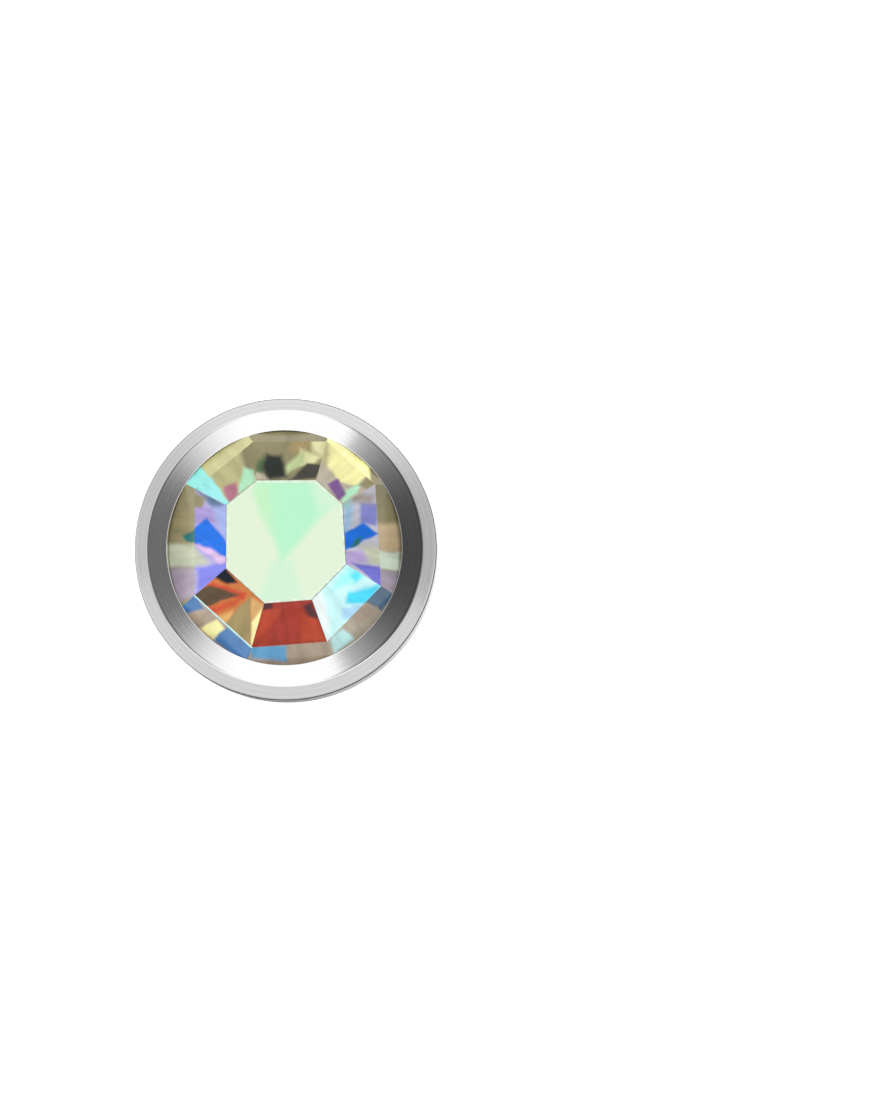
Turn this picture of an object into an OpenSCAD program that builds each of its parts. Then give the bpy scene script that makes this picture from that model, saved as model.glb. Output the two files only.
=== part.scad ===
// Dermal anchor top: a round metal head with a faceted crystal set in its face and a short
// screw post behind it. It lies as it would by itself, on the rim of its back and on the
// tip of its post, with its face turned up and towards -Y. Millimetres, +Z up, the surface
// that it lies on at Z = 0, and the origin under the middle of its bounding box.
// Every piece is drawn upright first: its own axis is Z, and the flat back is at Z = 0.

/* [Metal head] */
// Outside diameter of the head
head_d = 6; // [5.8:0.05:7]
// Height of the head, from its flat back to the inner lip
head_h = 1.6; // [1.55:0.01:2]
// Width of the turned shoulder round the face
shoulder_w = 0.26; // [0.15:0.01:0.35]
// How far the shoulder falls from the face to the straight wall
shoulder_fall = 0.22; // [0.12:0.01:0.3]
// How far the face falls from its inner lip to the shoulder
face_fall = 0.14; // [0.06:0.01:0.2]
// Radius that blends the shoulder into the wall
shoulder_round = 0.12; // [0.06:0.01:0.18]
// Radius of the rounded edge of the back
back_round = 0.25; // [0.15:0.01:0.35]

/* [Crystal] */
// Diameter of the crystal's girdle
stone_d = 4.6; // [4.4:0.05:4.8]
// Gap all round between the crystal and its seat
stone_gap = 0.03; // [0.02:0.005:0.05]
// Number of facets round each tier
facets = 8; // [8:1:12]
// Turn of the facets about the crystal's axis, in degrees
stone_turn = 2; // [-10:1:10]
// Width of the table, across its flats
table_w = 2.4; // [2:0.05:2.8]
// Width of the line where the main facets meet the girdle facets, across its flats
break_w = 3.86; // [3.6:0.02:4.1]
// Width of the small flat at the crystal's point, across its flats
culet_w = 0.08; // [0.05:0.01:0.15]
// Height of the table above the lip
table_rise = 1.05; // [0.8:0.01:1.2]
// Height of the break line above the lip
break_rise = 0.27; // [0.15:0.01:0.4]
// Depth of the girdle's upper edge below the lip
girdle_sink = 0.37; // [0.34:0.01:0.42]
// Height of the girdle at the middle of a facet
girdle_h = 0.1; // [0.06:0.01:0.12]
// Depth of the pavilion, from the girdle to the culet
pavilion_h = 0.7; // [0.5:0.01:0.72]

/* [Screw post] */
// Diameter of the post's root, which is pressed into the head
root_d = 1.6; // [1.55:0.05:2]
// Gap all round the pressed root
root_gap = 0.01; // [0.01:0.005:0.02]
// Outside diameter of the thread
thread_d = 1.2; // [1.1:0.05:1.3]
// Pitch of the thread
thread_pitch = 0.25; // [0.25:0.01:0.3]
// Number of full threads
thread_turns = 7; // [5:1:8]
// Diameter of the last, unfinished thread
runout_d = 0.98; // [0.95:0.01:1]
// Length of the plain pilot, from the last full thread to the tip
pilot_len = 0.87; // [0.85:0.01:1.1]
// Diameter of the pilot and of its domed tip
pilot_d = 0.78; // [0.7:0.01:0.84]
// Length over which the thread's core narrows to the pilot
taper_len = 0.23; // [0.15:0.01:0.26]

/* [Hidden] */
$fn = 96;

// Radii and heights of the head's outline
head_r = head_d / 2;
face_r = head_r - shoulder_w;
face_z = head_h - face_fall;
wall_z = face_z - shoulder_fall;
shoulder_slope = atan2(shoulder_fall, shoulder_w);
// A little short of a full blend, so that the arc crosses the shoulder and doesn't only touch it
round_z = wall_z - 0.95 * shoulder_round * tan((90 - shoulder_slope) / 2);

// Heights of the crystal's tiers
table_z = head_h + table_rise;
break_z = head_h + break_rise;
girdle_top_z = head_h - girdle_sink;
girdle_z = girdle_top_z - girdle_h;
culet_z = girdle_z - pavilion_h;

// How fast each tier widens with height, from one flat to the opposite one
lower_crown_widening = (break_w - stone_d) / (break_z - girdle_top_z);
pavilion_widening = (stone_d - culet_w) / pavilion_h;
corner_share = cos(180 / facets);

// The seat follows the pavilion's edges, one gap below them
seat_r = stone_d / 2 + stone_gap;
function seat_z(r) = culet_z - stone_gap + (2 * r * corner_share - culet_w) / pavilion_widening;

// The post, with depths counted down from the flat back
root_r = root_d / 2;
hole_r = root_r + root_gap;
root_top_z = culet_z - stone_gap;
thread_depth = 0.61343 * thread_pitch;
crest_flat = thread_pitch / 8;
flank_run = thread_depth * tan(30);
crest_r = thread_d / 2;
core_r = crest_r - thread_depth;
thread_len = thread_turns * thread_pitch;
runout_run = (runout_d / 2 - core_r) * tan(30);
runout_z = -thread_len - thread_pitch / 2;
tip_r = pilot_d / 2;
tip_z = tip_r - thread_len - pilot_len;
taper_z = runout_z - 2 * runout_run;

// The rest: the back's rounded edge and the domed tip both touch the surface
rest_span = [head_r - back_round, back_round - tip_z];
rest_slope = atan2(rest_span[0], rest_span[1]) + asin((back_round - tip_r) / norm(rest_span));
rest_lift = tip_r - tip_z * sin(rest_slope);
front_y = -round_z * cos(rest_slope) - (head_r - shoulder_round) * sin(rest_slope) - shoulder_round;
rim_y = -back_round * cos(rest_slope) + (head_r - back_round) * sin(rest_slope) + back_round;
tip_y = -tip_z * cos(rest_slope) + tip_r;
middle_y = (front_y + max(rim_y, tip_y)) / 2;

// Lays an upright piece down as the whole object rests
module laid() {
    translate([0, -middle_y, rest_lift])
        rotate([90 - rest_slope, 0, 0])
            children();
}

// A faceted solid from a list of rings, each [width across flats, height], lowest first
module cut_solid(rings) {
    corners = [for (ring = rings) for (i = [0:facets - 1])
        let (a = stone_turn + (i + 0.5) * 360 / facets, r = ring[0] / 2 / corner_share)
            [r * cos(a), r * sin(a), ring[1]]];
    top = (len(rings) - 1) * facets;
    bottom_face = [for (i = [0:facets - 1]) i];
    top_face = [for (i = [facets - 1:-1:0]) top + i];
    side_faces = [for (k = [0:len(rings) - 2]) for (i = [0:facets - 1])
        let (a = k * facets + i, b = k * facets + (i + 1) % facets)
            [a, a + facets, b + facets, b]];
    polyhedron(points = corners, faces = concat([bottom_face], side_faces, [top_face]));
}

// Half outline of the head: flat back, rounded edge, wall, shoulder, sloping face and seat
module cup_outline() {
    difference() {
        union() {
            polygon([
                [hole_r, 0],
                [head_r - back_round, 0],
                [head_r, back_round],
                [head_r, wall_z],
                [face_r, face_z],
                [seat_r, head_h],
                [seat_r, seat_z(seat_r)],
                [hole_r, seat_z(hole_r)]
            ]);
            translate([head_r - back_round, back_round])
                circle(back_round);
        }
        translate([head_r - shoulder_round, round_z])
            difference() {
                translate([shoulder_round * sin(shoulder_slope), 0])
                    square(2 * shoulder_round);
                circle(shoulder_round);
            }
    }
}

module bezel_cup() {
    color("silver")
        laid()
            rotate_extrude()
                cup_outline();
}

module crystal() {
    crown_low_w = break_w + lower_crown_widening * (culet_z - break_z);
    pavilion_high_w = culet_w + pavilion_widening * (table_z + table_rise - culet_z);
    color("paleturquoise")
        laid()
            intersection() {
                translate([0, 0, culet_z])
                    cylinder(d = stone_d, h = table_z - culet_z);
                cut_solid([[crown_low_w, culet_z], [break_w, break_z], [table_w, table_z]]);
                cut_solid([[culet_w, culet_z], [pavilion_high_w, table_z + table_rise]]);
            }
}

// One full thread, as four points of the outline, with the middle of its crest at height z
function thread_points(z) = [
    [core_r, z - crest_flat / 2 - flank_run],
    [crest_r, z - crest_flat / 2],
    [crest_r, z + crest_flat / 2],
    [core_r, z + crest_flat / 2 + flank_run]
];

// Half outline of the post, from its domed tip up: pilot, unfinished thread, threads and root
module post_outline() {
    pilot = [[0, tip_z], [tip_r, tip_z], [tip_r, taper_z - taper_len], [core_r, taper_z]];
    runout = [[core_r, runout_z - runout_run], [runout_d / 2, runout_z], [core_r, runout_z + runout_run]];
    threads = [for (i = [thread_turns - 1:-1:0]) each thread_points(-(i + 0.5) * thread_pitch)];
    root = [[core_r, 0], [root_r, 0], [root_r, root_top_z], [0, root_top_z]];
    polygon(concat(pilot, runout, threads, root));
    translate([0, tip_z])
        intersection() {
            circle(tip_r);
            translate([0, -tip_r])
                square(tip_r);
        }
}

module threaded_post() {
    color("lightgray")
        laid()
            rotate_extrude()
                post_outline();
}

bezel_cup();
crystal();
threaded_post();
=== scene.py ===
# %% [markdown]
# # A dermal anchor top, dressed for a studio photograph
#
# The object is a 6 mm jewellery head: a turned steel cup, a faceted crystal with a rainbow
# coating set in its face, and a short screw post behind it that goes into an anchor. This
# lesson takes the plain solids of that object as a fixed frame and gives each of them the
# shape and the finish that a close photograph shows. Everything is in metres, and the solids
# already lie where the real thing lies, on the rim of its back and on the tip of its post.

# %% Load the frame
import math

import bmesh
import bpy
from mathutils import Matrix, Vector


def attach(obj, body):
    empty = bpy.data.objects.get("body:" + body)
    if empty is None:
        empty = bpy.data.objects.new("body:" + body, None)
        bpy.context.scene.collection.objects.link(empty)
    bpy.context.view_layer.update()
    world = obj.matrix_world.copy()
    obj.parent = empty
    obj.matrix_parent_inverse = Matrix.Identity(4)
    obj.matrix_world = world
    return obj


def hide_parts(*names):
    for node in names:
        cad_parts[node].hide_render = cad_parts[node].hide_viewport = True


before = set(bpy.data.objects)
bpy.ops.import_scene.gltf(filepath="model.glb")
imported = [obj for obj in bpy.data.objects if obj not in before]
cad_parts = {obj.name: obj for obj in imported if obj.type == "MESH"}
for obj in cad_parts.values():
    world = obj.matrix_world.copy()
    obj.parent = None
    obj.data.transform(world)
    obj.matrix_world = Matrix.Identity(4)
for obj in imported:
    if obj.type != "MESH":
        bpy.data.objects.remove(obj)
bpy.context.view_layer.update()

print("solids:", sorted(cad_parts))

# %% [markdown]
# ## Where the head lies
#
# A turned piece is easiest to draw upright, with its own axis along Z and its flat back at
# Z = 0. So every new piece is drawn that way, and then laid down once, in its mesh, by one
# matrix. The matrix comes from the same sizes that the solids have: the rounded edge of the
# back and the domed tip of the post both touch the surface, and that fixes the slope.

# %% The sizes of the head, the post and their rest
MM = 0.001
HEAD_R, HEAD_H = 3.0 * MM, 1.6 * MM
FACE_R, FACE_Z, WALL_Z = 2.74 * MM, 1.46 * MM, 1.24 * MM
SHOULDER_ROUND, BACK_ROUND = 0.12 * MM, 0.25 * MM
SEAT_R, HOLE_R = 2.33 * MM, 0.81 * MM
SEAT_LOW_Z, SEAT_HIGH_Z = 0.6194 * MM, 1.0544 * MM
ROOT_R, ROOT_TOP_Z = 0.8 * MM, 0.4 * MM
CREST_R, CORE_R, PILOT_R = 0.6 * MM, 0.44664 * MM, 0.39 * MM
PITCH, THREAD_LEN, TIP_Z = 0.25 * MM, 1.75 * MM, -2.23 * MM
MIDDLE_Y = -0.48265 * MM

run, drop = HEAD_R - BACK_ROUND, BACK_ROUND - TIP_Z
rest_slope = math.atan2(run, drop) + math.asin((BACK_ROUND - PILOT_R) / math.hypot(run, drop))
rest_lift = PILOT_R - TIP_Z * math.sin(rest_slope)
LAID = (Matrix.Translation((0, -MIDDLE_Y, rest_lift))
        @ Matrix.Rotation(math.pi / 2 - rest_slope, 4, "X"))
AXIS = (LAID.to_3x3() @ Vector((0, 0, 1))).normalized()
print("the axis leans", round(math.degrees(rest_slope), 2), "degrees above the floor, along",
      tuple(round(v, 4) for v in AXIS))


# %% [markdown]
# ## Handing a piece over
#
# Each new mesh is finished in the same four steps: merge what lies on top of itself, turn the
# faces outwards, lay it down, and let it ride on the one body that this object has. The
# object itself stays at the origin, unturned, so that patterns on Object coordinates and the
# export both find it where the solids are.

# %% A helper that finishes a piece
SAME_PLACE = 1e-8  # metres; points closer than this are one point
ON_PLANE = 1e-9    # metres; how near a point has to be to lie on a plane


def hand_over(name, bm, finishes, stands_for, smooth_below=None):
    """smooth_below is the angle in degrees up to which an edge is shaded round; None is flat."""
    bmesh.ops.remove_doubles(bm, verts=bm.verts[:], dist=SAME_PLACE)
    bmesh.ops.recalc_face_normals(bm, faces=bm.faces[:])
    bm.transform(LAID)
    open_edges = sum(1 for e in bm.edges if len(e.link_faces) != 2)
    mesh = bpy.data.meshes.new(name)
    bm.to_mesh(mesh)
    bm.free()
    for finish in finishes:
        mesh.materials.append(finish)
    if smooth_below is None:
        mesh.shade_flat()
    else:
        mesh.shade_smooth()
        mesh.set_sharp_from_angle(angle=math.radians(smooth_below))
    piece = bpy.data.objects.new(name, mesh)
    bpy.context.scene.collection.objects.link(piece)
    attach(piece, "root")
    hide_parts(stands_for)
    mesh.calc_loop_triangles()
    print(name, len(mesh.loop_triangles), "triangles,", open_edges, "open edges")


# %% [markdown]
# ## Lines that a lathe leaves
#
# Head and post are both turned, and a turning tool leaves fine rings round the axis. The same
# effect is used on several steels, so it is one node group. It turns the coordinates so that Z
# is the head's own axis, and reads a noise in one dimension that changes with the distance
# from the axis and, on walls, with the height. A second, coarse noise lets the rings drift a
# little. The group gives out one height, which a steel uses for its tone, its roughness and
# its relief.

# %% Helpers for node trees
def new_group(name, sockets_in, sockets_out):
    """An empty node group. Each socket is given as (label, kind)."""
    group = bpy.data.node_groups.new(name, "ShaderNodeTree")
    for in_out, sockets in (("INPUT", sockets_in), ("OUTPUT", sockets_out)):
        for label, kind in sockets:
            group.interface.new_socket(name=label, in_out=in_out, socket_type="NodeSocket" + kind)
    return group, group.nodes.new("NodeGroupInput"), group.nodes.new("NodeGroupOutput")


def upright_coordinates(tree):
    """Object coordinates, turned so that Z is the head's own axis and the flat back is at 0."""
    place = tree.nodes.new("ShaderNodeTexCoord")
    turned = tree.nodes.new("ShaderNodeMapping")
    turned.vector_type = "TEXTURE"
    turned.inputs["Location"].default_value = LAID.to_translation()
    turned.inputs["Rotation"].default_value = LAID.to_euler()
    tree.links.new(place.outputs["Object"], turned.inputs["Vector"])
    return turned.outputs["Vector"]


def feed(tree, sockets, values):
    """Gives each socket its value: a number, another node's output, or None to leave it."""
    for socket, value in zip(sockets, values):
        if isinstance(value, (int, float)):
            socket.default_value = value
        elif value is not None:
            tree.links.new(value, socket)


def maths(tree, operation, a, b=None, c=None):
    node = tree.nodes.new("ShaderNodeMath")
    node.operation = operation
    feed(tree, node.inputs, (a, b, c))
    return node.outputs["Value"]


def distance_from_axis(tree, xyz):
    squares = [maths(tree, "MULTIPLY", xyz.outputs[name], xyz.outputs[name]) for name in "XY"]
    return maths(tree, "SQRT", maths(tree, "ADD", *squares))


# %% The group of turned lines
LINES_DOWN = 0.85          # how much a millimetre of height counts, next to one of radius
WOBBLES_PER_METRE = 600.0
WOBBLE = 0.15              # how far the rings drift, as a share of their spacing


def turned_lines_group():
    group, start, end = new_group("turned_lines", [("Lines per metre", "Float")], [("Height", "Float")])
    place = upright_coordinates(group)
    xyz = group.nodes.new("ShaderNodeSeparateXYZ")
    group.links.new(place, xyz.inputs["Vector"])
    fall = maths(group, "MULTIPLY", xyz.outputs["Z"], LINES_DOWN)
    outwards = maths(group, "SUBTRACT", distance_from_axis(group, xyz), fall)
    turns = maths(group, "MULTIPLY", outwards, start.outputs["Lines per metre"])
    wobble = group.nodes.new("ShaderNodeTexNoise")
    wobble.inputs["Scale"].default_value = WOBBLES_PER_METRE
    wobble.inputs["Detail"].default_value = 2.0
    group.links.new(place, wobble.inputs["Vector"])
    drift = maths(group, "MULTIPLY", wobble.outputs["Fac"], WOBBLE)
    lines = group.nodes.new("ShaderNodeTexNoise")
    lines.noise_dimensions = "1D"
    lines.inputs["Scale"].default_value = 1.0
    lines.inputs["Detail"].default_value = 3.0
    lines.inputs["Roughness"].default_value = 0.6
    group.links.new(maths(group, "ADD", turns, drift), lines.inputs["W"])
    group.links.new(lines.outputs["Fac"], end.inputs["Height"])
    return group


TURNED_LINES = turned_lines_group()
print("group:", TURNED_LINES.name, [s.name for s in TURNED_LINES.interface.items_tree])


# %% [markdown]
# ## The steels
#
# Polished steel is a metal with very little roughness, so most of what it shows is the studio
# round it. What keeps it from looking like chrome plate is the trace of the lathe: rings that
# change the tone a little, roughen the surface a little and lift the reflections a little. The
# seat inside the head and the post are only turned, and duller. The shoulder round the face is
# brushed, with coarse rings that are easy to see. Seen face-on, the upper end of the wall
# shows as a dark line, since it mirrors something dark. That holds for one view only, so that
# dark reflection is painted: the band has a near-black paint of its own, instead of a card in
# the room.

# %% The four steels
LINE_RELIEF = 0.002 * MM


def steel(name, colour, tone, roughness, spread, bump, lines_per_metre, metallic=1.0, specular=0.5):
    """A turned metal, whose rings change the colour by tone and the roughness by spread."""
    mat = bpy.data.materials.new(name)
    mat.use_nodes = True
    tree = mat.node_tree
    shader = tree.nodes["Principled BSDF"]
    shader.inputs["Metallic"].default_value = metallic
    shader.inputs["Specular IOR Level"].default_value = specular
    lines = tree.nodes.new("ShaderNodeGroup")
    lines.node_tree = TURNED_LINES
    lines.inputs["Lines per metre"].default_value = lines_per_metre
    mix = tree.nodes.new("ShaderNodeMix")
    mix.data_type = "RGBA"
    mix.inputs["A"].default_value = (*[v * (1 - tone) for v in colour], 1)
    mix.inputs["B"].default_value = (*[min(v * (1 + tone), 1) for v in colour], 1)
    tree.links.new(lines.outputs["Height"], mix.inputs["Factor"])
    tree.links.new(mix.outputs["Result"], shader.inputs["Base Color"])
    ramp = tree.nodes.new("ShaderNodeMapRange")
    ramp.inputs["To Min"].default_value = roughness
    ramp.inputs["To Max"].default_value = roughness + spread
    tree.links.new(lines.outputs["Height"], ramp.inputs["Value"])
    tree.links.new(ramp.outputs["Result"], shader.inputs["Roughness"])
    relief = tree.nodes.new("ShaderNodeBump")
    relief.inputs["Strength"].default_value = bump
    relief.inputs["Distance"].default_value = LINE_RELIEF
    tree.links.new(lines.outputs["Height"], relief.inputs["Height"])
    tree.links.new(relief.outputs["Normal"], shader.inputs["Normal"])
    return mat


POLISHED = steel("polished_steel", colour=(0.89, 0.89, 0.895), tone=0.06, roughness=0.04, spread=0.10,
                 bump=0.35, lines_per_metre=30000.0)
BRUSHED = steel("brushed_steel", colour=(0.635, 0.635, 0.64), tone=0.42, roughness=0.14, spread=0.12,
                bump=0.5, lines_per_metre=11500.0)
# A painted dark reflection: near-black matt paint on the upper end of the wall, where polished steel
# would mirror something dark
PAINTED_DARK_REFLECTION = steel("painted_dark_reflection", colour=(0.045, 0.045, 0.048), tone=0.30, roughness=0.50, spread=0.10,
             bump=0.3, lines_per_metre=26000.0, metallic=0.0, specular=0.1)
TURNED = steel("turned_steel", colour=(0.84, 0.84, 0.845), tone=0.10, roughness=0.16, spread=0.14,
               bump=0.6, lines_per_metre=24000.0)
print("steels:", [mat.name for mat in (POLISHED, BRUSHED, PAINTED_DARK_REFLECTION, TURNED)])


# %% [markdown]
# ## The head
#
# The head is a lathe's work, so its mesh is too: half of its outline is drawn as a face,
# its corners are rounded with vertex bevels, the shoulder gets three shallow turned grooves,
# and the outline is then spun round the axis. A polished flat only looks flat if its normals
# don't lean towards the rounded corners, so each long side gets a point close to both of its
# ends.

# %% The head's outline
FACE_EDGE_ROUND, LIP_ROUND, HOLE_ROUND = 0.16 * MM, 0.006 * MM, 0.01 * MM


def corner_bevel(bm, corner, radius, open_angle, segments):
    """Rounds one corner of a flat outline; open_angle is the angle between its two sides."""
    offset = radius * math.tan(math.radians(180 - open_angle) / 2)
    vert = min(bm.verts, key=lambda v: (v.co - Vector(corner)).length)
    bmesh.ops.bevel(bm, geom=[vert], offset=offset, segments=segments, profile=0.5,
                    affect="VERTICES", material=-1)


bm = bmesh.new()
hole, back, wall_top, face_edge, lip = [(HOLE_R, 0, 0), (HEAD_R, 0, 0), (HEAD_R, 0, WALL_Z),
                                        (FACE_R, 0, FACE_Z), (SEAT_R, 0, HEAD_H)]
seat = [(SEAT_R, 0, SEAT_HIGH_Z), (HOLE_R, 0, SEAT_LOW_Z)]
bm.faces.new([bm.verts.new(c) for c in [hole, back, wall_top, face_edge, lip, *seat]])
shoulder = math.degrees(math.atan2(FACE_Z - WALL_Z, HEAD_R - FACE_R))
face_fall = math.degrees(math.atan2(HEAD_H - FACE_Z, FACE_R - SEAT_R))
corner_bevel(bm, back, BACK_ROUND, 90, segments=12)
# A little short of a full blend, as in the solids
corner_bevel(bm, wall_top, SHOULDER_ROUND * 0.95, 90 + shoulder, segments=8)
corner_bevel(bm, face_edge, FACE_EDGE_ROUND, 180 - shoulder + face_fall, segments=5)
corner_bevel(bm, lip, LIP_ROUND, 90 + face_fall, segments=3)
corner_bevel(bm, hole, HOLE_ROUND, 90, segments=2)
bmesh.ops.delete(bm, geom=bm.faces[:], context="FACES_ONLY")
print("the shoulder falls", round(shoulder, 1), "degrees and the face", round(face_fall, 1))

# %% Points close to the ends of the long sides, and one where the painted dark reflection begins
LONG_SIDE, GUARD = 0.1 * MM, 0.012 * MM
PAINTED_REFLECTION_FROM = 1.07 * MM
for edge in [e for e in bm.edges if e.calc_length() > LONG_SIDE]:
    first, second = edge.verts
    share = GUARD / edge.calc_length()
    edge, vert = bmesh.utils.edge_split(edge, first, share)
    far = edge if second in edge.verts else next(e for e in vert.link_edges if second in e.verts)
    bmesh.utils.edge_split(far, second, share / (1 - share))
wall = max((e for e in bm.edges if all(abs(v.co.x - HEAD_R) < ON_PLANE for v in e.verts)),
           key=lambda e: e.calc_length())
upper = max(wall.verts, key=lambda v: v.co.z)
bmesh.utils.edge_split(wall, upper, (upper.co.z - PAINTED_REFLECTION_FROM) / wall.calc_length())
print("outline:", len(bm.verts), "points")

# %% Turned grooves on the shoulder, and the spin
GROOVES, GROOVE_DEPTH = 3, 0.004 * MM
SPIN_STEPS = 240


def on_shoulder(vert):
    return FACE_R < vert.co.x < HEAD_R and vert.co.z > WALL_Z - SHOULDER_ROUND


slope_edge = max((e for e in bm.edges if all(on_shoulder(v) for v in e.verts)),
                 key=lambda e: e.calc_length())
low, high = sorted((v.co.copy() for v in slope_edge.verts), key=lambda c: c.z)
inward = Vector((low.z - high.z, 0, high.x - low.x)).normalized()
made = bmesh.ops.subdivide_edges(bm, edges=[slope_edge], cuts=2 * GROOVES - 1)
for v in made["geom_inner"]:
    if isinstance(v, bmesh.types.BMVert):
        step = round((v.co - low).length / (high - low).length * 2 * GROOVES)
        if step % 2:
            bmesh.ops.translate(bm, verts=[v], vec=inward * GROOVE_DEPTH)
bmesh.ops.spin(bm, geom=bm.verts[:] + bm.edges[:], cent=(0, 0, 0), axis=(0, 0, 1),
               angle=math.tau, steps=SPIN_STEPS, use_merge=True)
print("head:", len(bm.faces), "faces after the spin")

# %% Which finish goes where
FINISHES = [POLISHED, TURNED, BRUSHED, PAINTED_DARK_REFLECTION]
INSIDE_R, INSIDE_Z = SEAT_R + 0.001 * MM, HEAD_H - 0.015 * MM
SHOULDER_FROM = 2.757 * MM


def finish_at(radius, height):
    if radius < INSIDE_R and height < INSIDE_Z:
        return TURNED
    if radius > SHOULDER_FROM and height > WALL_Z:
        return BRUSHED
    # The upper end of the wall gets a painted dark reflection, not a finish of the steel
    if radius > SHOULDER_FROM and height > PAINTED_REFLECTION_FROM:
        return PAINTED_DARK_REFLECTION
    return POLISHED


for face in bm.faces:
    centre = face.calc_center_median()
    face.material_index = FINISHES.index(finish_at(math.hypot(centre.x, centre.y), centre.z))
hand_over("steel_head", bm, FINISHES, "bezel_cup", smooth_below=16)

# %% [markdown]
# ## The screw post
#
# The thread is a real helix. One pitch of the M1.2 outline is swept with spin, which climbs
# by one pitch a turn when it is given a dvec. The helix is made too long at both ends and cut
# flat, and its height fades over the last turn, as where a die runs out. The open loops are
# then drawn out: upwards to the pressed root, and downwards to the pilot and its domed tip.

# %% The helix
STEPS, SPARE_TURNS = 64, 4
CREST_ROUND = 0.012 * MM
TURN_JOIN = 1e-7  # metres; how far apart two neighbouring turns may end
RUNOUT_LOW, RUNOUT_HIGH = -THREAD_LEN - 0.9 * PITCH, -THREAD_LEN + 0.3 * PITCH
# Half of one thread, as (radius, height in pitches), from its root up to its crest
lower_flank = [(CORE_R, -0.5), (CORE_R, -0.42), (CREST_R - CREST_ROUND, -0.085), (CREST_R, -0.055)]
outline = lower_flank + [(r, -pitches) for r, pitches in reversed(lower_flank)]
turns = round(THREAD_LEN / PITCH) + SPARE_TURNS
bm = bmesh.new()
points = [bm.verts.new((r, 0, pitches * PITCH)) for r, pitches in outline]
edges = [bm.edges.new(pair) for pair in zip(points, points[1:])]
bmesh.ops.spin(bm, geom=points + edges, cent=(0, 0, 0), axis=(0, 0, -1), dvec=(0, 0, -PITCH / STEPS),
               angle=math.tau * turns, steps=STEPS * turns, use_merge=False)
# One and a half pitches stand above the flat back until they are cut off
bmesh.ops.translate(bm, verts=bm.verts[:], vec=(0, 0, 1.5 * PITCH))
bmesh.ops.remove_doubles(bm, verts=bm.verts[:], dist=TURN_JOIN)
# The thread's height fades smoothly from one end of the runout to the other
for v in bm.verts:
    share = min(max((v.co.z - RUNOUT_LOW) / (RUNOUT_HIGH - RUNOUT_LOW), 0), 1)
    share = share * share * (3 - 2 * share)
    r = math.hypot(v.co.x, v.co.y)
    new_r = CORE_R + (r - CORE_R) * share
    v.co.x, v.co.y = v.co.x * new_r / r, v.co.y * new_r / r
print("helix:", turns, "turns before it is cut,", len(bm.verts), "points")

# %% Cut flat at both ends, then draw out the root and the pilot
ROOT_CHAMFER = 0.01 * MM
TAPER_Z, TAPER_LEN = RUNOUT_LOW - 0.03 * MM, 0.2 * MM
DOME_RINGS, DOME_END_R = 10, 0.004 * MM
for height, outside in ((0.0, 1), (RUNOUT_LOW, -1)):
    bmesh.ops.bisect_plane(bm, geom=bm.verts[:] + bm.edges[:] + bm.faces[:], dist=ON_PLANE,
                           plane_co=(0, 0, height), plane_no=(0, 0, outside), clear_outer=True)


def draw_out(bm, loop, rings):
    """Extrudes an open loop through rings of (radius, height), and returns the last loop."""
    for radius, height in rings:
        grown = bmesh.ops.extrude_edge_only(bm, edges=loop)["geom"]
        loop = [g for g in grown if isinstance(g, bmesh.types.BMEdge) and g.is_boundary]
        for v in {v for e in loop for v in e.verts}:
            r = math.hypot(v.co.x, v.co.y)
            v.co = (v.co.x * radius / r, v.co.y * radius / r, height)
    return loop


def rim_at(bm, height):
    return [e for e in bm.edges
            if e.is_boundary and all(abs(v.co.z - height) < SAME_PLACE for v in e.verts)]


root = [(ROOT_R - ROOT_CHAMFER, 0), (ROOT_R, ROOT_CHAMFER), (ROOT_R, ROOT_TOP_Z)]
bmesh.ops.contextual_create(bm, geom=draw_out(bm, rim_at(bm, 0.0), root))
dome = [(PILOT_R * math.cos(a), TIP_Z - PILOT_R * math.sin(a))
        for a in (math.radians(90 / DOME_RINGS * k) for k in range(DOME_RINGS))]
dome[-1] = (DOME_END_R, dome[-1][1])
pilot = [(CORE_R, TAPER_Z), (PILOT_R, TAPER_Z - TAPER_LEN)] + dome
bmesh.ops.contextual_create(bm, geom=draw_out(bm, rim_at(bm, RUNOUT_LOW), pilot))
hand_over("screw_post", bm, [TURNED], "threaded_post", smooth_below=35)

# %% [markdown]
# ## The crystal
#
# A cut stone is made by grinding flats, and the mesh is made the same way: a round blank is
# cut by one plane after another, and each cut is closed. The flats of a small pressed and
# polished stone are never quite even, so every main facet has its own bearing and its own
# distances. Each new flat notes in a face attribute which facet it belongs to.

# %% Cutting the crystal
STONE_R, CULET_R = 2.325 * MM, 0.04 * MM
TABLE_Z, BREAK_Z, CULET_Z = 2.65 * MM, 1.87 * MM, 0.43 * MM
GIRDLE_TOP_Z, GIRDLE_Z = 1.50 * MM, 1.13 * MM
BLANK_SIDES = 128
RIM_STEEPNESS = 1.12  # a rim facet's slope, as a multiple of its main facet's
# Each main facet's bearing in degrees, and its distance from the axis in millimetres, at the
# table and at the break where the rim facet begins
CROWN = {"right": (6.5, 1.25, 1.88), "upper_right": (51.5, 1.39, 2.12), "top": (93.5, 1.25, 2.08),
         "upper_left": (132.0, 1.28, 2.0), "left": (183.0, 1.09, 1.76), "lower_left": (231.0, 1.09, 1.9),
         "bottom": (277.5, 1.14, 1.94), "lower_right": (319.0, 1.2, 1.93)}
METALLIC_FACETS = ["girdle", "table", "table_edge", "painted_glint", "painted_sparkle", *CROWN]
FACETS = METALLIC_FACETS + ["rim_" + name for name in CROWN] + ["foil"]

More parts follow.
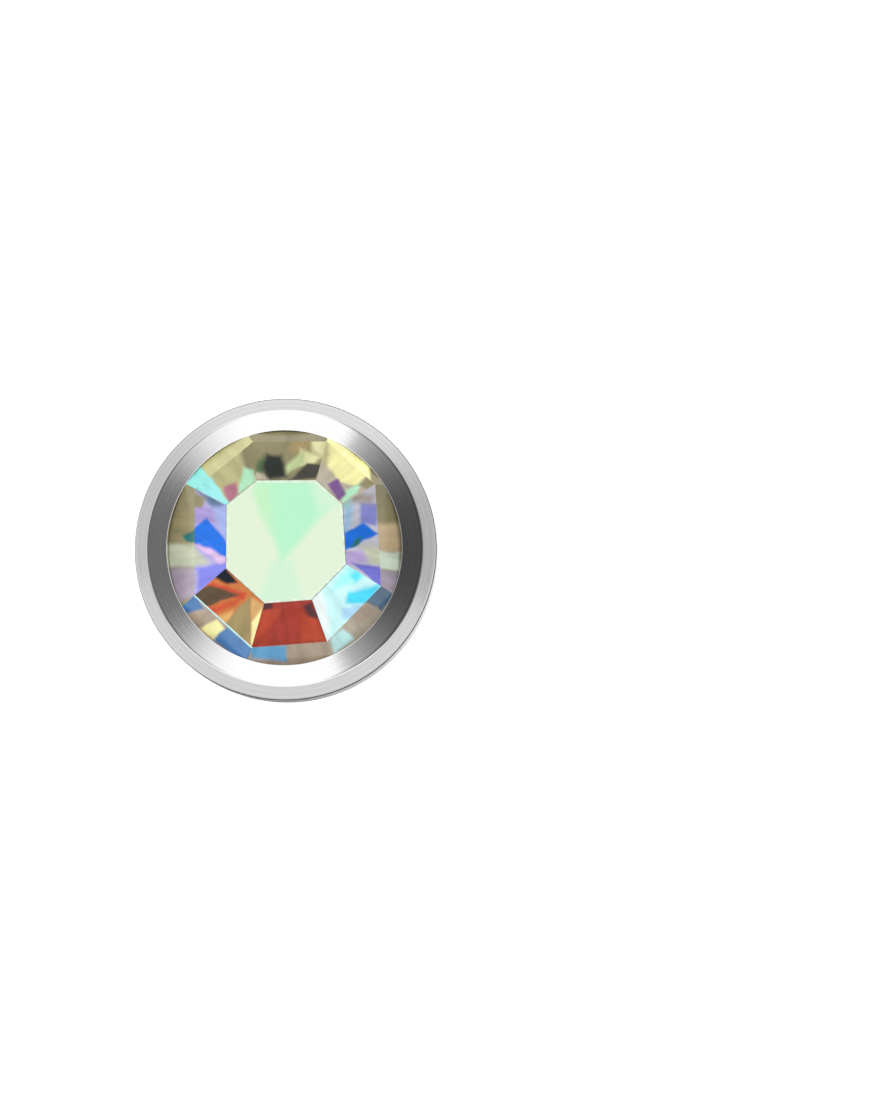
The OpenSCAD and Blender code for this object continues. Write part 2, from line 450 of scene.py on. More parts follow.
bm = bmesh.new()
facet_of = bm.faces.layers.float.new("facet")
bmesh.ops.create_cone(bm, cap_ends=True, cap_tris=False, segments=BLANK_SIDES, radius1=STONE_R,
                      radius2=STONE_R, depth=TABLE_Z - CULET_Z,
                      matrix=Matrix.Translation((0, 0, (TABLE_Z + CULET_Z) / 2)))
for face in bm.faces:
    if face.normal.z > 0.9:  # the blank's upper end
        face[facet_of] = FACETS.index("table")


def cut(bm, name, azimuth, near, far):
    """Grinds one flat, through the points (distance, height) near and far, square to the azimuth."""
    (r1, z1), (r2, z2) = near, far
    out = Vector((z1 - z2, 0, r2 - r1)).normalized()
    out = out if out.x > 0 else -out
    turn = Matrix.Rotation(math.radians(azimuth), 3, "Z")
    bmesh.ops.bisect_plane(bm, geom=bm.verts[:] + bm.edges[:] + bm.faces[:], dist=ON_PLANE,
                           plane_co=turn @ Vector((r1, 0, z1)), plane_no=turn @ out, clear_outer=True)
    rim = [e for e in bm.edges if e.is_boundary]
    for face in bmesh.ops.contextual_create(bm, geom=rim)["faces"] if rim else []:
        face[facet_of] = FACETS.index(name)
    bm.normal_update()


for name, (azimuth, at_table, at_break) in CROWN.items():
    cut(bm, name, azimuth, (at_break * MM, BREAK_Z), (at_table * MM, TABLE_Z))
    slope = (TABLE_Z - BREAK_Z) / ((at_break - at_table) * MM)
    low = min(BREAK_Z - RIM_STEEPNESS * slope * (STONE_R - at_break * MM), GIRDLE_TOP_Z)
    cut(bm, "rim_" + name, azimuth, (STONE_R, low), (at_break * MM, BREAK_Z))
    cut(bm, "foil", azimuth, (STONE_R, GIRDLE_Z), (CULET_R, CULET_Z))
print("facets after cutting:", len(bm.faces))

# %% Painted highlights: a lighter border round the table, and light paint on the bevels of two kinds of edge
TABLE_BORDER, SPARKLE_W, GLINT_W = 0.045 * MM, 0.02 * MM, 0.006 * MM


def facet_name(face):
    return FACETS[round(face[facet_of])]


def between(edge, one, others):
    names = [facet_name(f) for f in edge.link_faces]
    return one in names and any(name in others for name in names)


# The bevels are real geometry; the light bed colour of their faces is a painted highlight
def bevel_with_painted_highlight(bm, name, width, edges):
    made = bmesh.ops.bevel(bm, geom=edges, offset=width, segments=1, profile=0.5,
                           affect="EDGES", material=-1)
    for face in made["faces"]:
        face[facet_of] = FACETS.index(name)
    print(name, "on", len(edges), "edges")


table = [f for f in bm.faces if facet_name(f) == "table"]
border = bmesh.ops.inset_region(bm, faces=table, thickness=TABLE_BORDER, use_even_offset=True)
for face in border["faces"]:
    face[facet_of] = FACETS.index("table_edge")
bevel_with_painted_highlight(bm, "painted_sparkle", SPARKLE_W, [e for e in bm.edges if between(e, "lower_left", ["rim_lower_left"])])
bevel_with_painted_highlight(bm, "painted_glint", GLINT_W, [e for e in bm.edges if between(e, "table_edge", CROWN)])

# %% [markdown]
# ## The colours of the coating
#
# The back of the stone carries a mirror, and a film far thinner than a hair that shows another
# colour for every slant of the light. So each facet shows the mirror pictures of several
# others, and each picture has a colour of its own, from cream and mint through blue, violet
# and purple to orange and brick red. Jewellers call them flashes. They are painted here in
# the same way: a facet has a bed colour, and four-sided flashes with soft edges lie on it.
# The corners of a flash are given as on a dial, as a bearing in degrees and a distance from
# the point of the stone in millimetres. The facets don't all get the same light from the room,
# so each facet has a gain, which makes its colours darker or lighter until they look as named.

# %% The palette, and what lies under the flashes
FILM = {
    "pearl": (222, 238, 217), "cream": (227, 242, 215), "pale_mint": (212, 243, 214),
    "mint": (186, 244, 204), "lime": (192, 206, 150), "pale_lime": (198, 243, 198),
    "leaf": (120, 225, 190), "sage": (193, 198, 174), "moss": (88, 116, 76),
    "white_ice": (242, 254, 254), "ice": (204, 252, 252), "cyan": (168, 253, 250),
    "azure": (76, 218, 254), "pale_sky": (174, 220, 248), "sky": (152, 190, 228),
    "steel_blue": (92, 165, 212), "blue": (16, 112, 242), "teal": (32, 112, 110),
    "slate": (86, 116, 142), "denim": (78, 128, 182), "iris": (158, 176, 236),
    "periwinkle": (132, 137, 205), "violet": (128, 131, 226), "lavender": (176, 168, 216),
    "lilac": (188, 168, 218), "mist": (194, 194, 206), "pink": (220, 188, 234),
    "rose": (190, 122, 142), "plum": (130, 92, 150), "mauve": (168, 156, 172),
    "wine": (190, 70, 58), "garnet": (98, 58, 64), "pale_straw": (224, 222, 168),
    "orchid": (164, 148, 206), "indigo": (118, 117, 212), "aqua": (96, 228, 255),
    "seafoam": (160, 198, 196), "lagoon": (141, 227, 219), "fawn": (202, 180, 144),
    "celadon": (208, 221, 201), "taupe": (166, 156, 150), "umber": (68, 66, 58),
    "brick": (182, 66, 48), "vermilion": (210, 84, 56), "orange": (210, 126, 68),
    "brown": (98, 78, 58), "gold": (230, 178, 106), "tan": (214, 171, 112),
    "straw": (250, 244, 174), "khaki": (197, 193, 140), "olive": (146, 138, 104),
    "bronze": (164, 146, 100), "sand": (190, 181, 160), "clay": (178, 160, 140),
    "soot": (36, 43, 38), "black": (16, 26, 38),
}
# The pale beds of the table's border and of the bevelled edges are painted highlights
BEDS = {
    "table_edge": "pearl", "painted_glint": "pearl", "painted_sparkle": "ice", "girdle": "mist", "foil": "mist",
    "table": "cream", "right": "mist", "rim_right": "olive", "upper_right": "sand",
    "rim_upper_right": "straw", "top": "olive", "rim_top": "olive", "upper_left": "khaki",
    "rim_upper_left": "khaki", "left": "lavender", "rim_left": "olive", "lower_left": "orange",
    "rim_lower_left": "clay", "bottom": "brick", "rim_bottom": "clay", "lower_right": "ice",
    "rim_lower_right": "sand",
}
GAIN = {
    "table": 0.96, "upper_right": 0.97, "top": 0.93, "upper_left": 1.02, "left": 1.30,
    "lower_left": 1.05, "bottom": 0.78, "lower_right": 1.05, "right": 1.37, "rim_top": 0.62,
    "rim_upper_right": 0.69, "rim_upper_left": 0.73, "rim_right": 0.52, "rim_left": 0.84,
    "rim_lower_left": 0.70, "rim_bottom": 0.55, "rim_lower_right": 0.50, "painted_glint": 0.80,
    "painted_sparkle": 1.00,
}


def film(name, facet):
    """A colour of the palette as a shader wants it, times the gain of the facet it is on."""
    shares = [v / 255 for v in FILM[name]]
    linear = [v / 12.92 if v <= 0.04045 else ((v + 0.055) / 1.055) ** 2.4 for v in shares]
    return (*[min(v * GAIN.get(facet, 1.0), 1.0) for v in linear], 1.0)


bed_of = bm.faces.layers.float_color.new("bed")
for face in bm.faces:
    face[bed_of] = film(BEDS[facet_name(face)], facet_name(face))
print(len(FILM), "colours for", len(BEDS), "kinds of facet")

# %% The chart of the flashes
# Facet: its flashes, lowest first, each as (colour, softness in mm, four corners on the dial)
FLASHES = {
    "table": [
        ("pale_mint", 0.16, (252, 1.45), (292, 1.45), (309, 0.4), (242, 0.4)),
        ("mint", 0.16, (117, 1.6), (50, 1.8), (43, 1.55), (275, 0.35)),
        ("pale_lime", 0.16, (120, 1.3), (103, 1.2), (129, 0.3), (129, 0.8)),
        ("pale_mint", 0.2, (70, 1.4), (48, 1.8), (35, 1.45), (44, 1.0)),
    ],
    "right": [
        ("sky", 0.09, (35, 1.45), (32, 1.6), (13, 1.35), (11, 1.25)),
        ("periwinkle", 0.07, (32, 1.75), (28, 2.05), (16, 1.9), (19, 1.6)),
        ("taupe", 0.12, (40, 1.65), (33, 2.05), (29, 1.95), (34, 1.6)),
        ("seafoam", 0.07, (35, 1.4), (39, 1.55), (38, 1.7), (31, 1.5)),
        ("blue", 0.05, (12, 1.25), (19, 1.65), (11, 1.9), (356, 1.25)),
        ("teal", 0.05, (1, 1.35), (8, 1.45), (9, 1.6), (3, 1.5)),
        ("lilac", 0.08, (355, 1.25), (1, 1.7), (353, 1.8), (345, 1.35)),
        ("sage", 0.12, (2, 1.55), (4, 2.0), (351, 2.1), (352, 1.75)),
        ("indigo", 0.05, (348, 1.45), (352, 2.05), (340, 2.2), (342, 1.9)),
    ],
    "rim_right": [
        ("fawn", 0.1, (17, 1.8), (15, 2.35), (1, 2.3), (1, 1.85)),
        ("celadon", 0.07, (1, 1.75), (1, 2.3), (352, 2.35), (349, 1.85)),
        ("mauve", 0.07, (349, 1.85), (351, 2.35), (337, 2.35), (339, 2.05)),
    ],
    "upper_right": [
        ("straw", 0.07, (71, 2.35), (45, 2.45), (42, 1.9), (52, 1.65)),
        ("straw", 0.09, (71, 2.25), (59, 2.2), (51, 1.7), (64, 1.8)),
        ("khaki", 0.12, (79, 2.25), (70, 2.35), (65, 1.8), (70, 1.8)),
        ("mint", 0.06, (37, 1.4), (44, 1.65), (42, 2.0), (38, 1.8)),
        ("plum", 0.05, (56, 1.5), (53, 1.7), (42, 1.6), (40, 1.4)),
        ("olive", 0.08, (42, 1.9), (45, 2.4), (38, 2.4), (37, 2.0)),
    ],
    "rim_upper_right": [
        ("olive", 0.06, (46, 2.3), (46, 2.55), (25, 2.5), (36, 2.05)),
    ],
    "top": [
        ("pale_straw", 0.12, (82, 2.4), (69, 2.45), (63, 1.9), (76, 1.95)),
        ("bronze", 0.1, (90, 2.2), (79, 2.25), (78, 1.9), (89, 1.85)),
        ("pale_straw", 0.08, (83, 1.95), (70, 1.9), (72, 1.7), (81, 1.6)),
        ("lime", 0.08, (90, 1.35), (91, 1.55), (81, 1.95), (78, 1.7)),
        ("moss", 0.09, (114, 1.6), (106, 1.85), (103, 1.65), (109, 1.4)),
        ("soot", 0.1, (104, 1.85), (94, 1.8), (88, 1.3), (106, 1.3)),
        ("soot", 0.12, (108, 1.6), (103, 1.8), (98, 1.55), (106, 1.35)),
        ("umber", 0.06, (86, 1.25), (76, 1.7), (67, 1.75), (66, 1.45)),
        ("sand", 0.08, (116, 1.55), (109, 1.45), (105, 1.3), (115, 1.35)),
    ],
    "upper_left": [
        ("olive", 0.12, (114, 2.65), (97, 2.4), (110, 1.3), (120, 1.7)),
        ("mint", 0.07, (120, 1.75), (115, 1.6), (116, 1.35), (135, 1.3)),
        ("rose", 0.07, (139, 1.65), (129, 1.55), (134, 1.3), (146, 1.3)),
        ("cyan", 0.05, (151, 2.4), (138, 2.4), (145, 1.3), (156, 1.35)),
        ("leaf", 0.06, (151, 2.35), (147, 2.3), (150, 1.8), (153, 1.8)),
    ],
    "rim_upper_left": [
        ("lagoon", 0.05, (153, 2.4), (138, 2.5), (141, 2.0), (154, 2.1)),
        ("leaf", 0.06, (152, 2.35), (150, 2.3), (151, 1.95), (155, 2.0)),
    ],
    "left": [
        ("slate", 0.07, (150, 2.05), (149, 1.7), (148, 1.3), (155, 1.55)),
        ("olive", 0.09, (152, 2.45), (151, 1.8), (158, 1.75), (163, 2.2)),
        ("orchid", 0.07, (160, 1.95), (155, 1.6), (164, 1.4), (169, 1.85)),
        ("iris", 0.12, (154, 1.55), (148, 1.3), (185, 1.05), (166, 1.35)),
        ("blue", 0.05, (173, 1.9), (163, 1.6), (184, 1.05), (200, 1.1)),
        ("blue", 0.05, (172, 1.9), (199, 1.1), (194, 1.4), (181, 1.85)),
        ("pink", 0.06, (182, 1.8), (182, 1.65), (197, 1.1), (205, 1.2)),
        ("sage", 0.12, (182, 1.95), (184, 1.75), (197, 1.5), (195, 2.0)),
        ("violet", 0.07, (197, 1.8), (202, 1.1), (209, 1.15), (212, 2.0)),
        ("lavender", 0.1, (196, 2.0), (199, 1.75), (211, 1.9), (210, 2.2)),
    ],
    "rim_left": [
        ("teal", 0.05, (176, 2.05), (170, 1.7), (182, 1.65), (179, 1.95)),
        ("sage", 0.1, (180, 2.4), (182, 1.65), (198, 1.7), (191, 2.45)),
        ("mauve", 0.1, (192, 2.4), (198, 1.7), (214, 1.9), (210, 2.35)),
    ],
    "lower_left": [
        ("vermilion", 0.06, (210, 1.75), (211, 1.55), (237, 1.2), (239, 1.35)),
        ("brown", 0.05, (211, 2.05), (211, 1.65), (233, 1.3), (220, 2.0)),
        ("gold", 0.08, (229, 1.9), (236, 1.6), (240, 1.85), (234, 1.9)),
        ("vermilion", 0.1, (222, 1.9), (235, 1.35), (235, 1.5), (226, 1.95)),
        ("bronze", 0.06, (243, 1.2), (255, 2.05), (236, 1.95), (238, 1.5)),
        ("tan", 0.06, (243, 1.2), (257, 1.25), (258, 1.4), (252, 1.7)),
        ("straw", 0.05, (251, 1.65), (257, 1.35), (258, 2.05), (255, 2.05)),
        ("black", 0.05, (205, 1.2), (224, 1.15), (219, 1.35), (208, 1.5)),
    ],
    "rim_lower_left": [
        ("denim", 0.05, (208, 2.35), (210, 2.0), (221, 2.0), (216, 2.35)),
        ("straw", 0.05, (227, 2.3), (230, 1.95), (238, 2.0), (236, 2.3)),
        ("denim", 0.06, (235, 2.3), (238, 1.95), (258, 2.1), (254, 2.4)),
    ],
    "bottom": [
        ("vermilion", 0.11, (258, 1.35), (274, 1.2), (269, 1.55), (256, 1.95)),
        ("wine", 0.1, (263, 1.9), (267, 1.5), (284, 1.45), (282, 1.9)),
        ("vermilion", 0.11, (289, 1.4), (298, 1.55), (298, 2.05), (284, 1.9)),
        ("wine", 0.05, (255, 1.2), (304, 1.25), (300, 1.35), (263, 1.3)),
        ("garnet", 0.05, (255, 1.2), (265, 1.2), (265, 1.3), (258, 1.35)),
        ("garnet", 0.06, (292, 1.3), (301, 1.3), (300, 1.65), (294, 1.5)),
    ],
    "rim_bottom": [
        ("steel_blue", 0.07, (254, 2.1), (275, 1.95), (274, 2.25), (257, 2.3)),
    ],
    "lower_right": [
        ("white_ice", 0.11, (301, 1.2), (313, 1.2), (309, 1.5), (299, 2.15)),
        ("cyan", 0.09, (333, 1.3), (349, 1.45), (341, 1.7), (320, 1.35)),
        ("aqua", 0.09, (339, 1.45), (345, 1.55), (342, 1.7), (336, 1.6)),
        ("azure", 0.08, (328, 1.6), (343, 2.1), (329, 2.0), (321, 1.7)),
        ("pale_sky", 0.07, (316, 1.7), (328, 1.95), (316, 2.0), (312, 1.85)),
    ],
    "rim_lower_right": [
        ("slate", 0.05, (344, 2.05), (342, 2.4), (330, 2.3), (329, 1.95)),
        ("sand", 0.07, (307, 2.2), (316, 2.15), (330, 2.2), (327, 2.4)),
        ("clay", 0.08, (318, 1.9), (329, 2.0), (330, 2.2), (316, 2.15)),
        ("ice", 0.06, (300, 2.05), (309, 2.0), (311, 2.25), (298, 2.35)),
    ],
}
print(sum(len(f) for f in FLASHES.values()), "flashes on", len(FLASHES), "facets")

# %% [markdown]
# ## One flash, as a node group
#
# A four-sided shape is what four half-planes have in common. A half-plane takes one dot
# product, because the place comes in as (x, y, 1) and an edge as (nx, ny, -distance). The
# smallest of the four distances, put through a smooth step, is the mask of the flash.

# %% The group of a flash
CORNERS = 4


def flash_group():
    edges = [(f"Edge {k}", "Vector") for k in range(1, CORNERS + 1)]
    group, start, end = new_group("flash", [
        ("Under", "Color"), ("Colour", "Color"), ("Place", "Vector"), ("Facet", "Float"),
        ("On facet", "Float"), ("Softness", "Float"), *edges], [("Colour", "Color")])
    inside = None
    for label, kind in edges:
        dot = group.nodes.new("ShaderNodeVectorMath")
        dot.operation = "DOT_PRODUCT"
        group.links.new(start.outputs["Place"], dot.inputs[0])
        group.links.new(start.outputs[label], dot.inputs[1])
        distance = dot.outputs["Value"]
        inside = distance if inside is None else maths(group, "MINIMUM", inside, distance)
    step = group.nodes.new("ShaderNodeMapRange")
    step.interpolation_type = "SMOOTHSTEP"
    softness = start.outputs["Softness"]
    group.links.new(inside, step.inputs["Value"])
    group.links.new(maths(group, "MULTIPLY", softness, -0.5), step.inputs["From Min"])
    group.links.new(maths(group, "MULTIPLY", softness, 0.5), step.inputs["From Max"])
    here = maths(group, "COMPARE", start.outputs["Facet"], start.outputs["On facet"], 0.5)
    mix = group.nodes.new("ShaderNodeMix")
    mix.data_type = "RGBA"
    group.links.new(maths(group, "MULTIPLY", step.outputs["Result"], here), mix.inputs["Factor"])
    group.links.new(start.outputs["Under"], mix.inputs["A"])
    group.links.new(start.outputs["Colour"], mix.inputs["B"])
    group.links.new(mix.outputs["Result"], end.inputs["Colour"])
    return group


def edges_of(corners):
    """The four half-planes of a flash, from its corners on the dial."""
    points = [(r * math.cos(math.radians(a)), r * math.sin(math.radians(a))) for a, r in corners]
    area = sum(x1 * y2 - x2 * y1 for (x1, y1), (x2, y2) in zip(points, points[1:] + points[:1]))
    if area < 0:
        points.reverse()
    planes = []
    for (x1, y1), (x2, y2) in zip(points, points[1:] + points[:1]):
        length = math.hypot(x2 - x1, y2 - y1)
        nx, ny = (y1 - y2) / length, (x2 - x1) / length
        planes.append((nx, ny, -(nx * x1 + ny * y1)))
    return planes


FLASH = flash_group()
print("group:", FLASH.name, [s.name for s in FLASH.interface.items_tree])

# %% [markdown]
# ## The coated crystal
#
# The real stone is clear glass in front of a mirror. Built like that, it would show whatever
# this small studio holds, and not the colours of the photograph. So the stone is opaque here,
# and its skin is painted with what the foil mirrors. The main facets are metallic, because a
# foiled stone throws the light back in its own colours. The rim's facets, behind the lip, are
# plain and stay quieter. A weak noise bends the borders of the flashes a little, and faint
# streaks run outwards from the point of the stone.

# %% The stone's material, and where a point lies on the dial
BEND = 0.09  # millimetres from one extreme of a bent border to the other
BENDS_PER_METRE = 2.6 / MM
ROUGHNESS, COAT = 0.22, 0.3

coated = bpy.data.materials.new("coated_crystal")
coated.use_nodes = True
tree = coated.node_tree
shader = tree.nodes["Principled BSDF"]
shader.inputs["Roughness"].default_value = ROUGHNESS
shader.inputs["Coat Roughness"].default_value = 0.0
facet = tree.nodes.new("ShaderNodeAttribute")
facet.attribute_name = "facet"
behind_lip = maths(tree, "GREATER_THAN", facet.outputs["Fac"], len(METALLIC_FACETS) - 0.5)
tree.links.new(maths(tree, "SUBTRACT", 1.0, behind_lip), shader.inputs["Metallic"])
tree.links.new(maths(tree, "MULTIPLY_ADD", behind_lip, -COAT, COAT), shader.inputs["Coat Weight"])
upright = upright_coordinates(tree)
xyz = tree.nodes.new("ShaderNodeSeparateXYZ")
tree.links.new(upright, xyz.inputs["Vector"])
place = tree.nodes.new("ShaderNodeCombineXYZ")
feed(tree, place.inputs, [maths(tree, "MULTIPLY", xyz.outputs[name], 1 / MM) for name in "XY"] + [1.0])
noise = tree.nodes.new("ShaderNodeTexNoise")
noise.inputs["Scale"].default_value = BENDS_PER_METRE
noise.inputs["Detail"].default_value = 1.0
tree.links.new(upright, noise.inputs["Vector"])
bent = tree.nodes.new("ShaderNodeVectorMath")
bent.operation = "MULTIPLY_ADD"
tree.links.new(noise.outputs["Color"], bent.inputs[0])
bent.inputs[1].default_value = (BEND, BEND, 0)
tree.links.new(place.outputs["Vector"], bent.inputs[2])
centred = tree.nodes.new("ShaderNodeVectorMath")
centred.operation = "SUBTRACT"
tree.links.new(bent.outputs["Vector"], centred.inputs[0])
centred.inputs[1].default_value = (BEND / 2, BEND / 2, 0)
print("material:", coated.name, "with", len(METALLIC_FACETS), "metallic kinds of facet")

# %% The flashes, one over another
SOFTER = 1.4  # every border's softness, as a multiple of the chart's

bed = tree.nodes.new("ShaderNodeAttribute")
bed.attribute_name = "bed"
colour = bed.outputs["Color"]
for name, flashes in FLASHES.items():
    for paint, softness, *corners in flashes:
        flash = tree.nodes.new("ShaderNodeGroup")
        flash.node_tree = FLASH
        flash.inputs["Colour"].default_value = film(paint, name)
        flash.inputs["On facet"].default_value = FACETS.index(name)
        flash.inputs["Softness"].default_value = SOFTER * softness
        for k, plane in enumerate(edges_of(corners), 1):
            flash.inputs[f"Edge {k}"].default_value = plane
        tree.links.new(facet.outputs["Fac"], flash.inputs["Facet"])
        tree.links.new(centred.outputs["Vector"], flash.inputs["Place"])
        tree.links.new(colour, flash.inputs["Under"])
        colour = flash.outputs["Colour"]
print("nodes in the crystal's material:", len(tree.nodes))

# %% Streaks in the foil, but none on the table
STREAKS_ROUND, STREAKS_OUT = 9.0, 1.6 / MM  # per radian, and per metre outwards
DARKEST, LIGHTEST = 0.86, 1.06

polar = tree.nodes.new("ShaderNodeCombineXYZ")
angle = maths(tree, "ARCTAN2", xyz.outputs["Y"], xyz.outputs["X"])
tree.links.new(maths(tree, "MULTIPLY", angle, STREAKS_ROUND), polar.inputs["X"])
tree.links.new(maths(tree, "MULTIPLY", distance_from_axis(tree, xyz), STREAKS_OUT), polar.inputs["Y"])
streaks = tree.nodes.new("ShaderNodeTexNoise")
streaks.noise_dimensions = "2D"
streaks.inputs["Scale"].default_value = 1.0
streaks.inputs["Detail"].default_value = 2.0
tree.links.new(polar.outputs["Vector"], streaks.inputs["Vector"])
calm = tree.nodes.new("ShaderNodeMix")
calm.data_type = "FLOAT"
on_table = maths(tree, "COMPARE", facet.outputs["Fac"], FACETS.index("table"), 0.5)
feed(tree, [calm.inputs[name] for name in ("Factor", "A", "B")], (on_table, streaks.outputs["Fac"], 0.5))
spread = tree.nodes.new("ShaderNodeMapRange")
spread.inputs["From Min"].default_value, spread.inputs["From Max"].default_value = 0.3, 0.7
spread.inputs["To Min"].default_value, spread.inputs["To Max"].default_value = DARKEST, LIGHTEST
tree.links.new(calm.outputs["Result"], spread.inputs["Value"])
tone = tree.nodes.new("ShaderNodeHueSaturation")
tree.links.new(spread.outputs["Result"], tone.inputs["Value"])
tree.links.new(colour, tone.inputs["Color"])
tree.links.new(tone.outputs["Color"], shader.inputs["Base Color"])
hand_over("cut_crystal", bm, [coated], "crystal")

# %% [markdown]
# ## The studio
#
# The ground is pure white, with no shadow at all, as on the light table of a catalogue
# photographer, so the floor glows for the camera. For the steel above it, it is plain paper,
# and that keeps the steel's underside grey.

# %% The floor
FLOOR_R, FLOOR_GREY, GLOW = 0.6, 0.53, 0.9

bm = bmesh.new()
bmesh.ops.create_circle(bm, cap_ends=True, segments=96, radius=FLOOR_R)
floor_mesh = bpy.data.meshes.new("floor")
bm.to_mesh(floor_mesh)
bm.free()
floor = bpy.data.objects.new("floor", floor_mesh)
bpy.context.scene.collection.objects.link(floor)
pale = bpy.data.materials.new("pale_floor")
pale.use_nodes = True
tree = pale.node_tree
shader = tree.nodes["Principled BSDF"]
shader.inputs["Base Color"].default_value = (FLOOR_GREY, FLOOR_GREY, FLOOR_GREY, 1)
shader.inputs["Roughness"].default_value = 0.7
shader.inputs["Emission Color"].default_value = (1, 1, 1, 1)
seen = tree.nodes.new("ShaderNodeLightPath").outputs["Is Camera Ray"]
tree.links.new(maths(tree, "MULTIPLY", seen, GLOW), shader.inputs["Emission Strength"])
floor_mesh.materials.append(pale)
print("floor:", FLOOR_R, "m in radius")

# %% [markdown]
# ## The room
#
# A polished ring shows nothing but the room. In the photograph it is white above and below and
# dark at both sides, with a sharp border where the right flag begins and a soft one on the
# left, which also leans a little. So the room is the world itself: a pale tent whose brightness
# is charted against the direction, measured across the head's own axis. Cards on stands would
# do the same, but they would stand in the way of other views. The chart only holds for the
# directions that the face mirrors. Those beyond it, which the wall mirrors, come from pale
# walls, and those behind the head from a darker back of the room.

# %% The room's chart
TENT = 1.13                       # brightness of the whole tent
SHIFT, LEFT_LEAN = 0.056, -0.17   # how far the flags stand to the left, and the left one's lean
LEAST_DEPTH = 0.05                # keeps the division finite for directions beside the head
FRONT_FROM, FRONT_FULL = 0.30, 0.62
SIDES_TONE, WALL_TONE, WALL_FALL = 1.0, 0.67, -0.065
WALL_FROM, WALL_FULL = 0.45, 0.92
BACK_TONE, BACK_FULL = 0.72, -0.5
# Where in the ring's mirror picture, from -1 at the left to 1 at the right, and how bright
FLAGS = [(-1.0, 0.13), (-0.79, 0.14), (-0.745, 0.13), (-0.71, 0.17), (-0.68, 0.26), (-0.633, 0.43),
         (-0.543, 0.64), (-0.443, 0.86), (-0.32, 1.0), (0.352, 1.0), (0.364, 0.52), (0.48, 0.32),
         (0.575, 0.165), (0.66, 0.095), (0.72, 0.055), (1.0, 0.05)]
UP = (0, 0.716772, 0.697307)      # square to the head's axis and to the world's X

world = bpy.data.worlds.new("studio")
bpy.context.scene.world = world
world.use_nodes = True
tree = world.node_tree
direction = tree.nodes.new("ShaderNodeTexCoord").outputs["Generated"]


def along(axis):
    dot = tree.nodes.new("ShaderNodeVectorMath")
    dot.operation = "DOT_PRODUCT"
    tree.links.new(direction, dot.inputs[0])
    dot.inputs[1].default_value = axis
    return dot.outputs["Value"]


def soft_step(value, start, end):
    step = tree.nodes.new("ShaderNodeMapRange")
    step.interpolation_type = "SMOOTHSTEP"
    step.inputs["From Min"].default_value = start
    step.inputs["From Max"].default_value = end
    tree.links.new(value, step.inputs["Value"])
    return step.outputs["Result"]


def mixed(a, b, share):
    """a where share is 0, b where it is 1."""
    node = tree.nodes.new("ShaderNodeMix")
    node.data_type = "FLOAT"
    feed(tree, [node.inputs[name] for name in ("A", "B", "Factor")], (a, b, share))
    return node.outputs["Result"]


# %% The world's shader
side, up, out = along((1, 0, 0)), along(UP), along(AXIS)
depth = maths(tree, "MAXIMUM", out, LEAST_DEPTH)
across = maths(tree, "ADD", maths(tree, "DIVIDE", side, depth), SHIFT)
lean = maths(tree, "MULTIPLY", maths(tree, "DIVIDE", up, depth), LEFT_LEAN)
left_part = maths(tree, "MINIMUM", across, 0.0)
across = maths(tree, "ADD", across, maths(tree, "MULTIPLY", lean, left_part))
ramp = tree.nodes.new("ShaderNodeValToRGB")
tree.links.new(maths(tree, "MULTIPLY_ADD", across, 0.5, 0.5), ramp.inputs["Fac"])
stops = ramp.color_ramp.elements
while len(stops) < len(FLAGS):
    stops.new(1.0)
for stop, (where, level) in zip(stops, FLAGS):
    stop.position = where / 2 + 0.5
    stop.color = (level, level, level, 1)
walls = maths(tree, "MULTIPLY_ADD", side, WALL_FALL, WALL_TONE)
beside = soft_step(maths(tree, "ABSOLUTE", side), WALL_FROM, WALL_FULL)
sides = mixed(SIDES_TONE, walls, beside)
shade = mixed(sides, ramp.outputs["Color"], soft_step(out, FRONT_FROM, FRONT_FULL))
shade = maths(tree, "MULTIPLY", shade, mixed(1.0, BACK_TONE, soft_step(out, 0.0, BACK_FULL)))
background = tree.nodes["Background"]
background.inputs["Color"].default_value = (1, 1, 1, 1)
tree.links.new(maths(tree, "MULTIPLY", shade, TENT), background.inputs["Strength"])
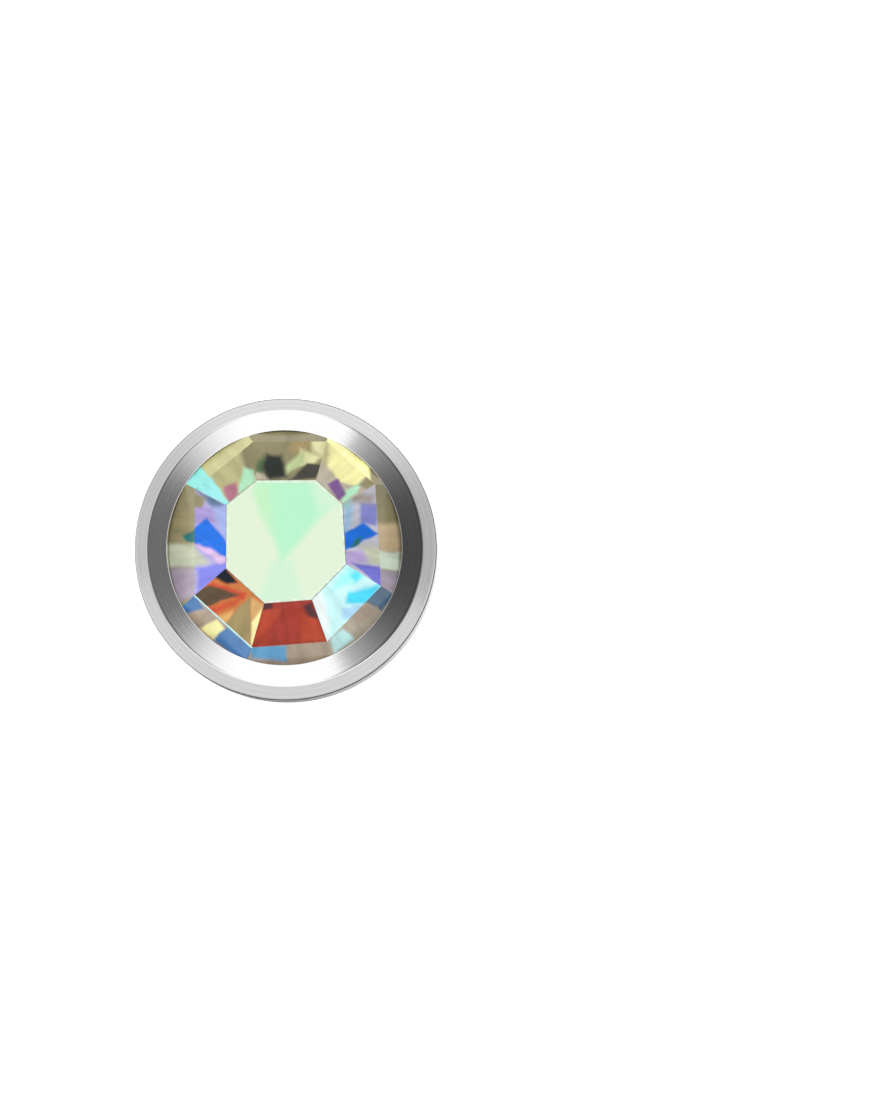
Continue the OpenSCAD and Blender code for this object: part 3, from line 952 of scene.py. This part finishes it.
print("room:", len(FLAGS), "steps of brightness across the ring")

# %% The softbox
SOFTBOX_AT = (0.03, -0.11, 0.16)

lamp = bpy.data.lights.new("softbox", "AREA")
lamp.shape = "RECTANGLE"
lamp.size, lamp.size_y = 0.12, 0.12
lamp.energy = 0.60
softbox = bpy.data.objects.new("softbox", lamp)
bpy.context.scene.collection.objects.link(softbox)
softbox.location = SOFTBOX_AT
softbox.rotation_euler = (-softbox.location).to_track_quat("-Z", "Y").to_euler()
softbox.visible_glossy = False
print("softbox:", round(softbox.location.length, 3), "m from the head")

# %% [markdown]
# ## The camera
#
# The photograph looks almost straight down the head's axis, from a little below it
# and a little to its right, with a long lens. The head stands left of the middle of the frame.

# %% The camera
FRAME_W, FRAME_H = 890, 1100
SENSOR = 36  # millimetres
ELEVATION, AZIMUTH, DISTANCE, PIXELS_PER_MM = 41.8, 4.6, 160 * MM, 50.4
HEAD_AT = (285.35, 548.95)

tilt, swing = math.radians(ELEVATION), math.radians(AZIMUTH)
towards = Vector((math.sin(swing) * math.cos(tilt), -math.cos(swing) * math.cos(tilt), math.sin(tilt)))
focal_pixels = PIXELS_PER_MM * DISTANCE / MM
yaw = math.atan2(FRAME_W / 2 - HEAD_AT[0], focal_pixels)
pitch = math.atan2(HEAD_AT[1] - FRAME_H / 2, focal_pixels)
camera_data = bpy.data.cameras.new("camera")
camera_data.sensor_width = SENSOR
camera_data.lens = focal_pixels * SENSOR / FRAME_H
camera_data.clip_start, camera_data.clip_end = 0.005, 5
camera = bpy.data.objects.new("camera", camera_data)
bpy.context.scene.collection.objects.link(camera)
camera.location = LAID @ Vector((0, 0, WALL_Z)) + towards * DISTANCE
camera.rotation_euler = ((-towards).to_track_quat("-Z", "Y").to_matrix() @ Matrix.Rotation(-yaw, 3, "Y")
                         @ Matrix.Rotation(pitch, 3, "X")).to_euler()
bpy.context.scene.camera = camera
bpy.context.scene.view_settings.view_transform = "Standard"
print("lens", round(camera_data.lens, 1), "mm at", round(DISTANCE / MM), "mm")
